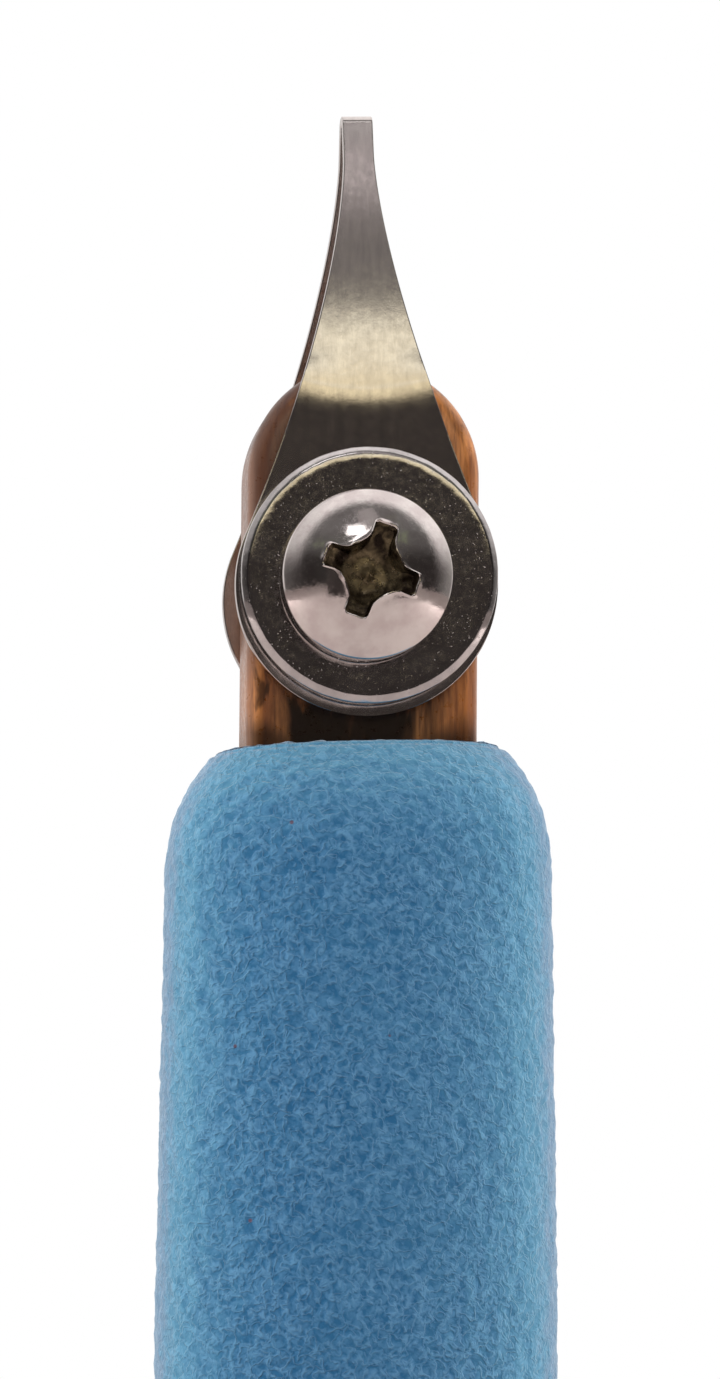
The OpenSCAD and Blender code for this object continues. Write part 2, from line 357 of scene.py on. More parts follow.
def blade_half_width(height):
    """Half the ribbon's width at a height above the screw axis"""
    neck = TIP_HEIGHT - NECK_LENGTH
    meet_x = FOOT_RADIUS * math.cos(MEET_ANGLE)
    meet_z = FOOT_RADIUS * math.sin(MEET_ANGLE) - FOOT_DROP
    rate = (meet_x - TIP_WIDTH / 2) / (neck - meet_z) ** FLARE_POWER
    if height <= meet_z:
        return math.sqrt(max(FOOT_RADIUS**2 - (height + FOOT_DROP) ** 2, 0.0004))
    return TIP_WIDTH / 2 + rate * max(neck - height, 0) ** FLARE_POWER


def leg_path():
    """(distance from the middle plane, height, lean) along the front leg's outer face, foot to fold"""
    foot = [(LEG_FACE, -FOOT_DROP - FOOT_RADIUS * math.cos(turn), 0.0)
            for turn in np.radians(np.linspace(1.5, 90, 36))]
    shank = [(LEG_FACE, z, 0.0) for z in np.linspace(0.3, CREASE_HEIGHT - CREASE_LENGTH / 2, 34)]
    crease = [(LEG_FACE - CREASE_LENGTH * math.tan(CREASE_LEAN) * share**2 / 2,
               CREASE_HEIGHT + CREASE_LENGTH * (share - 0.5), CREASE_LEAN * share)
              for share in np.linspace(0, 1, 13)[1:]]
    fold_height = TIP_HEIGHT - FOLD_RADIUS
    fold_lean = 2 * math.atan((LEG_FACE - FOLD_RADIUS) / (fold_height - CREASE_HEIGHT)) - CREASE_LEAN
    start = np.array([LEG_FACE, CREASE_HEIGHT])
    end = np.array([FOLD_RADIUS * math.cos(fold_lean), fold_height + FOLD_RADIUS * math.sin(fold_lean)])
    radius = np.linalg.norm(end - start) / (2 * math.sin((fold_lean - CREASE_LEAN) / 2))
    bend = []
    for lean in np.linspace(CREASE_LEAN, fold_lean, 60):
        out = LEG_FACE - radius * (math.cos(CREASE_LEAN) - math.cos(lean))
        height = CREASE_HEIGHT + radius * (math.sin(lean) - math.sin(CREASE_LEAN))
        if height > CREASE_HEIGHT + 0.52 * CREASE_LENGTH:
            bend.append((out, height, lean))
    fold = []
    for turn in np.linspace(fold_lean, math.pi / 2, 14)[1:]:
        fold.append((FOLD_RADIUS * math.cos(turn), fold_height + FOLD_RADIUS * math.sin(turn), turn))
    return foot + shank + crease + bend + fold


def ribbon_section(half_width):
    """(across, depth into the metal) round the ribbon's section, with its edges just broken"""
    broken = 0.05
    flat = half_width - broken
    across = np.concatenate([[-flat], np.linspace(0.03 - flat, flat - 0.03, 25), [flat]])
    outer = [(x, 0.0) for x in across]
    inner = [(x, THICKNESS) for x in across[::-1]]
    right = [(half_width - 0.015, 0.015), (half_width, broken), (half_width, THICKNESS - broken),
             (half_width - 0.015, THICKNESS - 0.015)]
    left = [(-x, depth) for x, depth in right[::-1]]
    return outer + right + inner + left


def folded_blade(material):
    """The ribbon, folded at its tip, with a round foot on each face of the core"""
    front = leg_path()
    stations = [(-out, height, lean) for out, height, lean in front]
    stations += [(out, height, math.pi - lean) for out, height, lean in front[-2::-1]]
    rings = []
    for depth, height, lean in stations:
        towards_core = np.array([math.cos(lean), -math.sin(lean)])
        ring = []
        half_width = blade_half_width(height)
        lift = CREASE_LIFT * smooth_step(abs(height - CREASE_HEIGHT), 3.5, 0.6)
        for across, into in ribbon_section(half_width):
            y, z = np.array([depth, height]) + into * towards_core
            share = across / half_width
            lifted = lift * (0.15 + 0.85 * share**2)
            ring.append((share * blade_half_width(height + lifted), y, z + lifted))
        rings.append(ring)
    rings = np.array(rings)
    x, z = rings[:, :, 0].copy(), rings[:, :, 2].copy()
    turned_x = x * math.cos(BLADE_TURN) - z * math.sin(BLADE_TURN)
    turned_z = x * math.sin(BLADE_TURN) + z * math.cos(BLADE_TURN)
    rings[:, :, 0] = turned_x + FOOT_X
    rings[:, :, 2] = turned_z + AXIS_Z
    blade = ring_surface("folded_blade", rings, closed=False)
    face_outwards(blade)
    drill(blade, BLADE_HOLE, 10)
    finish_piece(blade, material, "blade", "ribbon_blade", sharp_angle=25)


# ---- washers, screw and nut: local points are (across, up, out from the clamped face) ----

WASHER_BORE = 3.15
# (radius, lean at its end in degrees) of each arc over a washer's outer edge
WASHER_ROLL = [(2.6, 8), (0.36, 33), (3.2, 38), (0.14, 90)]

def placed(local, face, side):
    """Moves local points to the screw's axis, on the front (side -1) or the back (side 1)"""
    local = np.asarray(local, float)
    placed_points = np.empty_like(local)
    placed_points[..., 0] = AXIS_X + local[..., 0]
    placed_points[..., 1] = side * (face + local[..., 2])
    placed_points[..., 2] = AXIS_Z + local[..., 1]
    return placed_points


def turned(profile, columns):
    """Rings of local points from a profile of (radius, out) pairs"""
    around = np.linspace(0, 2 * math.pi, columns, endpoint=False)
    circle = np.stack([np.cos(around), np.sin(around)], 1)
    return np.array([np.column_stack([circle * radius, np.full(columns, out)]) for radius, out in profile])


def corner_arc(centre, radius, start, end, steps=7):
    """Points of an arc in a profile, with its angles in degrees"""
    turn = np.radians(np.linspace(start, end, steps))
    return [(centre[0] + radius * math.cos(a), centre[1] + radius * math.sin(a)) for a in turn]


def rolled_edge(start, lean, arcs):
    """Points of a profile that leans over outwards in (radius, lean at its end) arcs, in degrees"""
    points = [np.array(start, float)]
    for radius, end in arcs:
        start_turn = math.radians(lean)
        centre = points[-1] - radius * np.array([math.sin(start_turn), math.cos(start_turn)])
        for turn in np.radians(np.linspace(lean, end, 7)[1:]):
            points.append(centre + radius * np.array([math.sin(turn), math.cos(turn)]))
        lean = end
    return [tuple(point) for point in points]


def washer_profile(inner, outer, thickness):
    """Section of a stamped washer: rolled over on its outer face, sharper underneath"""
    under, bore = 0.22, 0.14
    roll = rolled_edge((0, thickness), 0, WASHER_ROLL)
    face_edge = outer - roll[-1][0]
    profile = corner_arc((outer - under, under), under, -90, 0)
    profile += [(face_edge + radius, out) for radius, out in roll[::-1]]
    for radius in np.linspace(face_edge - 0.03, inner + bore, 14)[:-1]:
        profile.append((radius, thickness))
    profile += corner_arc((inner + bore, thickness - bore), bore, 90, 180, 5)
    profile += corner_arc((inner + bore, bore), bore, 180, 270, 5)
    for radius in np.linspace(inner + bore, outer - under, 8)[1:-1]:
        profile.append((radius, 0))
    return profile


def flat_washer(name, node, body, side, seed, material):
    """A flat washer against a leg of the blade, its rim a little worn"""
    low, high = box_mm(node)
    thickness = high[1] - low[1]
    outer = (high[0] - low[0]) / 2
    centre = np.array([(high[0] + low[0]) / 2 - AXIS_X, (high[2] + low[2]) / 2 - AXIS_Z, 0])
    local = turned(washer_profile(WASHER_BORE, outer, thickness), 256)
    points = local.reshape(-1, 3)
    radius = np.hypot(points[:, 0], points[:, 1])
    worn = 0.014 * noise_at(points, 1.1, seed) + 0.012 * noise_at(points, 0.45, seed + 1)
    rim = smooth_step(radius, outer - 0.8, outer - 0.2)
    points[:, :2] *= 1 + ((worn + 0.02) * rim / outer)[:, None]
    top = smooth_step(points[:, 2], thickness * 0.5, thickness)
    points[:, 2] += top * (0.4 * worn - 0.008)
    washer = ring_surface(name, placed(local + centre, LEG_FACE, side))
    face_outwards(washer)
    finish_piece(washer, material, body, node, sharp_angle=60)


HEAD_RADIUS = 4.75
HEAD_HEIGHT = 3.0
HEAD_EDGE = 0.3
DOME_RADIUS = 7.4
RECESS_DEPTH = 1.7
RECESS_TURN = math.radians(-19)
WING_HALF = 0.66
WING_REACH = 2.7
ROOT_REACH = 1.62
SCREW_COLUMNS = 256
THREAD_ROOT = 1.95
THREAD_CREST = 2.4
# rings of the recess, as shares of its outline's size: on its floor, and (share, rise) up its wall
FLOOR_SHARES = (0.04, 0.14, 0.26, 0.38, 0.5, 0.6, 0.7, 0.78, 0.84)
WALL_STEPS = ((0.885, 0.2), (0.91, 0.45), (0.94, 0.72), (0.97, 0.92), (0.985, 0.985))
# (distance outside the recess, height) of the burr round its edge
BURR_STEPS = ((0.0, 0.03), (0.04, 0.075), (0.09, 0.06), (0.16, 0.02), (0.26, 0.0))
# where the rings of the dome have become circles, and their last radii at its edge
CIRCLE_START = 3.25
EDGE_RADII = [4.66, 4.7, 4.73, 4.745]


def head_height(radius):
    """Height of the head's surface over its underside: a dome, then a small round edge"""
    dome_centre = HEAD_HEIGHT - DOME_RADIUS
    edge_x = HEAD_RADIUS - HEAD_EDGE
    edge_z = dome_centre + math.sqrt((DOME_RADIUS - HEAD_EDGE) ** 2 - edge_x**2)
    touch = edge_x * DOME_RADIUS / (DOME_RADIUS - HEAD_EDGE)
    if radius <= touch:
        return dome_centre + math.sqrt(DOME_RADIUS**2 - radius**2)
    return edge_z + math.sqrt(max(HEAD_EDGE**2 - (radius - edge_x) ** 2, 0))


def turn_matrix(turn):
    """Turns rows of (across, up) anticlockwise"""
    return np.array([[math.cos(turn), math.sin(turn)], [-math.sin(turn), math.cos(turn)]])


def recess_outline(columns):
    """The cross recess at the surface, from the middle of a wing, at even steps along its edge"""
    round_end = 0.27
    tip = [(WING_REACH, y) for y in np.linspace(0, WING_HALF - round_end, 7)]
    corner = [(WING_REACH - round_end * (1 - math.cos(a)), WING_HALF - round_end * (1 - math.sin(a)))
              for a in np.radians([25, 50, 75, 90])]
    bend_start, root = ROOT_REACH + 0.4, ROOT_REACH / math.sqrt(2)
    side = [(x, WING_HALF) for x in np.linspace(WING_REACH - round_end, bend_start, 9)[1:]]
    start, end = np.array(side[-1]), np.array([root, root])
    pull = np.array([2 * root - WING_HALF, WING_HALF])
    bend = [tuple(start * (1 - t) ** 2 + 2 * pull * t * (1 - t) + end * t**2)
            for t in np.linspace(0.1, 1, 10)]
    eighth = np.array(tip + corner + side + bend)
    mirror = eighth[::-1][1:, ::-1]
    quarter = np.vstack([eighth, mirror])
    whole = []
    for turn in range(4):
        whole.append(quarter[:-1] @ turn_matrix(turn * math.pi / 2))
    whole = np.vstack(whole + [whole[0][:1]])
    travelled = np.concatenate([[0], np.cumsum(np.hypot(*np.diff(whole, axis=0).T))])
    wanted = np.linspace(0, travelled[-1], columns, endpoint=False)
    return np.stack([np.interp(wanted, travelled, whole[:, i]) for i in (0, 1)], 1)


def recess_floor(flat):
    """Points on the lumpy floor of the recess under some flat points: deepest round its middle"""
    radii = np.hypot(*flat.T)
    depth = RECESS_DEPTH * (1 - 0.2 * smooth_step(radii, 0.5, 0.0) - 0.5 * smooth_step(radii, 0.8, 2.5))
    lumps = 0.12 * noise_at(np.column_stack([flat, np.zeros(len(flat))]), 0.7, 24)
    return np.column_stack([flat, HEAD_HEIGHT - depth + lumps])


def head_rings():
    """Rings over the screw head, from the bottom of the recess out to the underside"""
    outline = recess_outline(SCREW_COLUMNS)
    around = np.linspace(0, 2 * math.pi, SCREW_COLUMNS, endpoint=False)
    circle = np.stack([np.cos(around), np.sin(around)], 1)
    seeds = np.column_stack([outline, np.full(SCREW_COLUMNS, 0.0)])
    burr = 0.5 + 0.5 * noise_at(seeds, 0.5, 21)
    ragged = 0.035 * noise_at(seeds, 0.35, 22) + 0.03 * noise_at(seeds, 1.1, 23)
    reach = np.hypot(*outline.T)
    edge = outline * (1 + ragged / reach)[:, None]
    rings = []
    surface = np.array([head_height(r) for r in reach])
    for share in FLOOR_SHARES:
        rings.append(recess_floor(edge * share))
    floor = rings[-1][:, 2]
    for share, rise in WALL_STEPS:
        rings.append(np.column_stack([edge * share, floor * (1 - rise) + (surface - 0.02) * rise]))
    # raised burr and the dome outside it
    for out, lift in BURR_STEPS:
        grown = edge * (1 + out / reach)[:, None]
        radii = np.hypot(*grown.T)
        height = np.array([head_height(r) for r in radii])
        rings.append(np.column_stack([grown, height + lift * burr]))
    for share in np.linspace(0.12, 1, 9):
        ring = grown * (1 - share) + circle * CIRCLE_START * share
        height = np.array([head_height(r) for r in np.hypot(*ring.T)])
        rings.append(np.column_stack([ring, height]))
    for radius in list(np.linspace(CIRCLE_START, 4.6, 10)[1:]) + EDGE_RADII:
        rings.append(np.column_stack([circle * radius, np.full(SCREW_COLUMNS, head_height(radius))]))
    under = 0.12
    side = [(HEAD_RADIUS, 0.9), (HEAD_RADIUS, 0.5)]
    side += corner_arc((HEAD_RADIUS - under, under), under, 0, -90, 5)
    for radius, out in side:
        rings.append(np.column_stack([circle * radius, np.full(SCREW_COLUMNS, out)]))
    rings = np.array(rings)
    rings[:, :, :2] = rings[:, :, :2] @ turn_matrix(RECESS_TURN)
    return rings


def thread_radius(across, up, depth, root, crest):
    """Radius of a right-hand thread round the +Y axis at each point"""
    turn = np.arctan2(across, up) / (2 * math.pi)
    phase = (depth / PITCH - turn) % 1.0
    ridge = np.clip(np.abs(phase - 0.5) * 2.6 - 0.2, 0, 1)
    return root + (crest - root) * (1 - ridge)


def shank_rings(columns, spin):
    """Rings down the threaded shank in local points, from under the head to its end"""
    length = SCREW_HIGH[1] + WASHER_FACE
    around = np.linspace(0, 2 * math.pi, columns, endpoint=False) + spin
    circle = np.stack([np.cos(around), np.sin(around)], 1)
    rings = [np.column_stack([circle * 2.75, np.zeros(columns)])]
    for out in np.linspace(0.02, length, 200):
        depth = np.full(columns, out - WASHER_FACE)
        radius = thread_radius(circle[:, 0], circle[:, 1], depth, THREAD_ROOT, THREAD_CREST)
        fade = smooth_step(out, 0.1, 1.1)
        radius = THREAD_ROOT + 0.12 + (radius - THREAD_ROOT - 0.12) * fade
        radius = np.minimum(radius, THREAD_ROOT - 0.25 + (length - out) * 0.9)
        rings.append(np.column_stack([circle * radius[:, None], np.full(columns, -out)]))
    rings.append(np.column_stack([circle * 0.4, np.full(columns, -length)]))
    return np.array(rings)


def clamp_screw(material, recess):
    """Pan-head screw with a burred, dirty cross recess, painted lighter in its middle, and a rolled thread
    """
    rings = np.vstack([head_rings(), shank_rings(SCREW_COLUMNS, RECESS_TURN)])
    screw = ring_surface("pan_head_screw", placed(rings, WASHER_FACE, -1), closed=False)
    face_outwards(screw)
    finish_piece(screw, material, "screw", "clamp_screw", sharp_angle=40)
    screw.data.materials.append(recess)
    for face in screw.data.polygons:
        across, out, up = np.array(face.center) / MM - (AXIS_X, -WASHER_FACE, AXIS_Z)
        radius = math.hypot(across, up)
        if radius < WING_REACH + 0.2 and 0.5 < -out < head_height(radius) - 0.05:
            face.material_index = 1


def spring_washer(material):
    """Split spring washer, pressed flat, with its cut ends slanted"""
    columns = 200
    outer, inner, edge = 4.25, 2.55, 0.12
    thickness = SPRING_HIGH[1] - SPRING_LOW[1]
    section = corner_arc((outer - edge, edge), edge, -90, 0, 4)
    section += corner_arc((outer - edge, thickness - edge), edge, 0, 90, 4)
    section += corner_arc((inner + edge, thickness - edge), edge, 90, 180, 4)
    section += corner_arc((inner + edge, edge), edge, 180, 270, 4)
    slant, gap = 0.46, 0.5
    rings = []
    for share in np.linspace(0, 1, columns):
        ring = []
        for radius, out in section:
            lean = (out / thickness - 0.5) * thickness * slant
            start, end = (gap / 2 - lean) / radius, 2 * math.pi - (gap / 2 + lean) / radius
            turn = start + (end - start) * share
            ring.append((radius * math.cos(turn), radius * math.sin(turn), out))
        rings.append(ring)
    washer = ring_surface("split_washer", placed(rings, SPRING_LOW[1], 1), closed=False)
    face_outwards(washer)
    finish_piece(washer, material, "back_stack", "spring_washer", sharp_angle=40)


CHAMFER = math.radians(30)


def hex_nut(material):
    """Hexagon nut, chamfered on both faces, with its thread cut through"""
    columns = 240
    around = np.linspace(0, 2 * math.pi, columns, endpoint=False)
    circle = np.stack([np.cos(around), np.sin(around)], 1)
    thickness = NUT_HIGH[1] - NUT_LOW[1]
    flat = (NUT_HIGH[2] - NUT_LOW[2]) / 2
    half_side = math.radians(30)
    hexagon = flat / np.cos((around + half_side) % (2 * half_side) - half_side)
    hexagon = np.minimum(hexagon, flat / math.cos(half_side) - 0.06)
    bevel_start = flat * 0.955
    drop = (hexagon - bevel_start) * math.tan(CHAMFER)
    same = np.ones(columns)
    hole, mouth = 2.455, 0.35
    rings = [(same * (hole + mouth), same * 0)]
    for out in np.linspace(0.05, thickness - 0.05, 56):
        depth = np.full(columns, NUT_LOW[1] + out)
        radius = thread_radius(circle[:, 0], circle[:, 1], depth, THREAD_ROOT + 0.08, hole)
        radius = np.maximum(radius, hole + mouth - min(out, thickness - out))
        rings.append((radius, same * out))
    rings.append((same * (hole + mouth), same * thickness))
    rings += [(same * r, same * thickness) for r in (3.4, 4.1, bevel_start - 0.05)]
    rings += [(same * bevel_start, same * thickness - 0.01), (hexagon - 0.04, thickness - drop + 0.01),
              (hexagon, thickness - drop - 0.04)]
    rings += [(hexagon, same * thickness * share) for share in (0.7, 0.5, 0.3)]
    rings += [(hexagon, drop + 0.04), (hexagon - 0.04, drop - 0.01), (same * bevel_start, same * 0.01)]
    rings += [(same * r, same * 0) for r in (bevel_start - 0.05, 4.1, 3.4)]
    local = [np.column_stack([circle * radius[:, None], out]) for radius, out in rings]
    nut = ring_surface("hexagon_nut", placed(local, NUT_LOW[1], 1))
    face_outwards(nut)
    finish_piece(nut, material, "nut", "hex_nut", sharp_angle=28)


# ---- shader helpers ----


def srgb(red, green, blue):
    """A display colour from 0 to 255 as the linear colour that nodes take"""
    linear = []
    for value in (red, green, blue):
        share = value / 255
        linear.append(share / 12.92 if share <= 0.04045 else ((share + 0.055) / 1.055) ** 2.4)
    return (*linear, 1.0)


class Shader:
    """One node tree, with short calls that add a node and return what it gives"""

    def __init__(self, tree):
        self.tree = tree
        self.tree.nodes.clear()

    def add(self, kind, inputs=None, **settings):
        made = self.tree.nodes.new("ShaderNode" + kind)
        for name, value in settings.items():
            setattr(made, name, value)
        for name, value in (inputs or {}).items():
            if isinstance(value, bpy.types.NodeSocket):
                self.tree.links.new(value, made.inputs[name])
            else:
                made.inputs[name].default_value = value
        return made

    def math(self, operation, first, second=0.0):
        return self.add("Math", {0: first, 1: second}, operation=operation).outputs[0]

    def times(self, first, second):
        return self.math("MULTIPLY", first, second)

    def plus(self, first, second):
        return self.math("ADD", first, second)

    def millimetres(self, stretch=(1, 1, 1)):
        """Object coordinates in millimetres, squeezed by a factor on each axis"""
        place = self.add("TexCoord").outputs["Object"]
        scale = [1 / MM * s for s in stretch]
        return self.add("VectorMath", {0: place, 1: scale}, operation="MULTIPLY").outputs[0]

    def noise(self, place, size, detail=3.0, roughness=0.55, distortion=0.0):
        """Noise whose largest lumps are about this size"""
        inputs = {"Vector": place, "Scale": 1 / size, "Detail": detail, "Roughness": roughness,
                  "Distortion": distortion}
        return self.add("TexNoise", inputs).outputs[0]

    def span(self, value, low, high, to_low=0.0, to_high=1.0):
        """Maps low..high onto another range, smoothly, without going past it"""
        inputs = {"Value": value, "From Min": low, "From Max": high, "To Min": to_low, "To Max": to_high}
        return self.add("MapRange", inputs, interpolation_type="SMOOTHSTEP").outputs[0]

    def mix(self, factor, first, second):
        """Goes from the first colour to the second as the factor goes from 0 to 1"""
        made = self.add("Mix", data_type="RGBA")
        for index, value in ((0, factor), (6, first), (7, second)):
            if isinstance(value, bpy.types.NodeSocket):
                self.tree.links.new(value, made.inputs[index])
            else:
                made.inputs[index].default_value = value
        return made.outputs[2]

    def bump(self, height, distance, strength, under=None):
        inputs = {"Height": height, "Distance": distance * MM, "Strength": strength}
        if under is not None:
            inputs["Normal"] = under
        return self.add("Bump", inputs).outputs[0]

    def surface(self, **inputs):
        """Ends the tree with a Principled surface"""
        named = {name.replace("_", " "): value for name, value in inputs.items()}
        surface = self.add("BsdfPrincipled", named).outputs[0]
        self.add("OutputMaterial", {"Surface": surface})


def new_material(name):
    """A material with an empty node tree"""
    material = bpy.data.materials.new(name)
    material.use_nodes = True
    return material, Shader(material.node_tree)


# ---- materials ----


def foam_material():
    """Light blue foam: a fine fleece of short pale squiggles over a darker blue, with painted sheen
    lightening it towards its outlines
    """
    material, shader = new_material("blue_foam")
    place = shader.millimetres()
    weave = shader.noise(place, 0.6, 2.0, 0.5, 0.5)
    squiggle = shader.math("ABSOLUTE", shader.math("SUBTRACT", weave, 0.5))
    lines = shader.span(squiggle, 0.0, 0.1, 1.0, 0.0)
    cells = shader.span(shader.noise(place, 0.4, 2.0, 0.55, 0.3), 0.34, 0.66)
    patches = shader.noise(place, 4.5, 3.0, 0.55)
    fleece = shader.plus(shader.times(lines, 0.5), shader.times(cells, 0.5))
    colour = shader.mix(fleece, srgb(29, 85, 126), srgb(82, 129, 166))
    colour = shader.mix(shader.span(patches, 0.35, 0.7, 0.0, 0.2), colour, srgb(52, 106, 143))
    # Painted sheen: the colour is mixed towards pale blue-grey where the surface turns away from the view,
    # so the foam is lighter towards its outlines
    facing = shader.add("LayerWeight", {"Blend": 0.35}).outputs["Facing"]
    painted_edge_sheen = shader.mix(shader.span(facing, 0.2, 0.6), srgb(150, 224, 237), srgb(150, 175, 191))
    colour = shader.mix(shader.times(facing, 0.65), colour, painted_edge_sheen)
    # Rare small dark mauve flecks, painted into the colour
    spots = shader.add("TexVoronoi", {"Vector": place, "Scale": 1 / 2.6}).outputs["Distance"]
    dark_flecks = shader.span(spots, 0.03, 0.055, 1.0, 0.0)
    rare = shader.span(shader.noise(place, 5.0, 0.0), 0.56, 0.6)
    colour = shader.mix(shader.times(dark_flecks, rare), colour, srgb(86, 74, 92))
    normal = shader.bump(fleece, 0.1, 0.9)
    shader.surface(Base_Color=colour, Roughness=0.85, Specular_IOR_Level=0.25, Sheen_Weight=0.25,
                   Sheen_Roughness=0.45, Normal=normal)
    return material


def wood_material():
    """Lacquered wood: orange-brown along the grain, darker up its left side, and near-black near the sleeve
    and under the washer, partly a burn and partly painted shade
    """
    material, shader = new_material("scorched_shaded_wood")
    place = shader.millimetres()
    across, _, up = shader.add("SeparateXYZ", {0: place}).outputs
    fibres = shader.noise(shader.millimetres((1, 1, 0.07)), 0.3, 4.0, 0.65, 0.3)
    bands = shader.noise(shader.millimetres((1, 1, 0.09)), 1.6, 3.0, 0.6, 0.5)
    colour = shader.mix(shader.span(bands, 0.3, 0.68), srgb(116, 64, 26), srgb(194, 128, 70))
    colour = shader.mix(shader.span(fibres, 0.42, 0.7, 0.0, 0.75), colour, srgb(84, 46, 24))
    ragged = shader.noise(shader.millimetres((1, 1, 0.3)), 2.2, 4.0, 0.65, 0.8)
    shift = shader.times(shader.math("SUBTRACT", ragged, 0.5), 9.0)
    to_left = shader.span(shader.plus(across, shift), -4.5, -1.0, 1.0, 0.0)
    to_left = shader.times(to_left, shader.span(up, AXIS_Z - 6, AXIS_Z - 2, 0.25, 1.0))
    colour = shader.mix(shader.times(to_left, 0.9), colour, srgb(64, 42, 34))
    # Near-black under the washer round the middle and just above the sleeve: partly a burn, partly painted
    # shade where the washer and the foam shade the wood
    low = shader.span(shader.plus(up, shift), RIM_HEIGHT + 2, RIM_HEIGHT + 6, 1.0, 0.0)
    off_centre = shader.math("ABSOLUTE", shader.plus(across, 0.3))
    off_centre = shader.plus(off_centre, shader.times(shift, 0.4))
    centred = shader.span(off_centre, 3.2, 5.8, 1.0, 0.0)
    foot = shader.plus(up, shader.times(shift, 0.3))
    foot = shader.span(foot, RIM_HEIGHT + 0.2, RIM_HEIGHT + 2.2, 0.85, 0.0)
    burn_and_shade = shader.math("MAXIMUM", shader.times(low, centred), foot)
    burn_and_shade = shader.times(burn_and_shade, shader.span(bands, 0.5, 0.75, 1.0, 0.72))
    streaks = shader.times(shader.span(ragged, 0.54, 0.66, 0.0, 0.8), shader.span(across, -3, 5, 1.0, 0.35))
    colour = shader.mix(shader.math("MAXIMUM", burn_and_shade, streaks), colour, srgb(18, 8, 4))
    # Painted highlight: both long edges are mixed towards a lighter tan
    edges = shader.span(shader.math("ABSOLUTE", across), 6.1, 6.5)
    colour = shader.mix(shader.times(edges, 0.5), colour, srgb(140, 102, 80))
    wear = shader.noise(place, 0.5, 4.0, 0.7)
    roughness = shader.span(wear, 0.3, 0.7, 0.25, 0.5)
    normal = shader.bump(fibres, 0.05, 0.5)
    lacquer = shader.span(burn_and_shade, 0.2, 1.0, 0.4, 0.08)
    shader.surface(Base_Color=colour, Roughness=roughness, Specular_IOR_Level=0.3, Coat_Weight=lacquer,
                   Coat_Roughness=0.2, Normal=normal)
    return material


def blade_material():
    """Stainless ribbon, ground lengthwise, so that it glances light sideways"""
    material, shader = new_material("ground_steel")
    lines = shader.noise(shader.millimetres((1, 1, 0.05)), 0.07, 2.0, 0.6)
    broad = shader.noise(shader.millimetres((1, 1, 0.12)), 0.5, 3.0, 0.6)
    mottled = shader.noise(shader.millimetres(), 0.45, 4.0, 0.6)
    colour = shader.mix(shader.span(broad, 0.3, 0.7), srgb(212, 206, 203), srgb(226, 220, 216))
    colour = shader.mix(shader.span(lines, 0.4, 0.8, 0.0, 0.1), colour, srgb(150, 143, 138))
    roughness = shader.span(mottled, 0.3, 0.7, 0.16, 0.22)
    sideways = shader.add("CombineXYZ", {0: 1.0}).outputs[0]
    normal = shader.bump(mottled, 0.004, 0.5)
    shader.surface(Base_Color=colour, Metallic=1.0, Roughness=roughness, Anisotropic=0.95,
                   Tangent=sideways, Normal=normal)
    return material


def washer_material():
    """Dark-faced plated steel with fine bright specks"""
    material, shader = new_material("speckled_steel")
    place = shader.millimetres()
    specks = shader.span(shader.noise(place, 0.13, 2.0, 0.6), 0.66, 0.76)
    worn = shader.noise(place, 1.6, 4.0, 0.65)
    colour = shader.mix(shader.span(worn, 0.3, 0.7), srgb(186, 182, 181), srgb(210, 206, 205))
    handled = shader.span(shader.noise(place, 2.6, 3.0, 0.6), 0.36, 0.6, 0.25, 1.0)
    marks = shader.times(specks, handled)
    roughness = shader.span(shader.noise(place, 0.3, 4.0, 0.7), 0.3, 0.7, 0.08, 0.17)
    roughness = shader.plus(roughness, shader.times(marks, 0.35))
    normal = shader.bump(shader.noise(place, 0.5, 3.0, 0.6), 0.012, 0.5)
    normal = shader.bump(marks, 0.02, 0.6, under=normal)
    shader.surface(Base_Color=colour, Metallic=1.0, Roughness=roughness, Normal=normal)
    return material


def screw_material():
    """Bright nickel-plated steel, with small marks from handling"""
    material, shader = new_material("nickel_plate")
    place = shader.millimetres()
    soft = shader.noise(place, 1.3, 3.0, 0.6)
    colour = shader.mix(shader.span(soft, 0.3, 0.7), srgb(214, 204, 202), srgb(232, 226, 222))
    roughness = shader.span(shader.noise(place, 0.35, 4.0, 0.7), 0.35, 0.75, 0.07, 0.2)
    normal = shader.bump(shader.noise(place, 0.5, 3.0, 0.6), 0.01, 0.5)
    shader.surface(Base_Color=colour, Metallic=1.0, Roughness=roughness, Normal=normal)
    return material


def recess_material():
    """Dirt and old lacquer lodged in the screw's recess, with painted light making its middle lighter"""
    material, shader = new_material("recess_grime_painted_light")
    place = shader.millimetres()
    lodged = shader.noise(place, 0.9, 3.0, 0.55, 0.4)
    # Painted light: the recess is made lighter towards its middle, where its floor faces the front; worn
    # here carries this painted light, not wear
    screw_middle = (AXIS_X, -WASHER_FACE - 1.5, AXIS_Z)
    off_middle = shader.add("VectorMath", {0: place, 1: screw_middle}, operation="DISTANCE")
    worn = shader.span(off_middle.outputs["Value"], 0.4, 2.2, 0.3, 0.0)
    lighter = shader.span(shader.plus(lodged, worn), 0.42, 0.85)
    colour = shader.mix(lighter, srgb(30, 20, 11), srgb(128, 114, 88))
    roughness = shader.span(shader.noise(place, 0.3, 3.0, 0.6), 0.3, 0.7, 0.2, 0.5)
    normal = shader.bump(lodged, 0.15, 0.8)
    shader.surface(Base_Color=colour, Metallic=0.8, Roughness=roughness, Normal=normal)
    return material


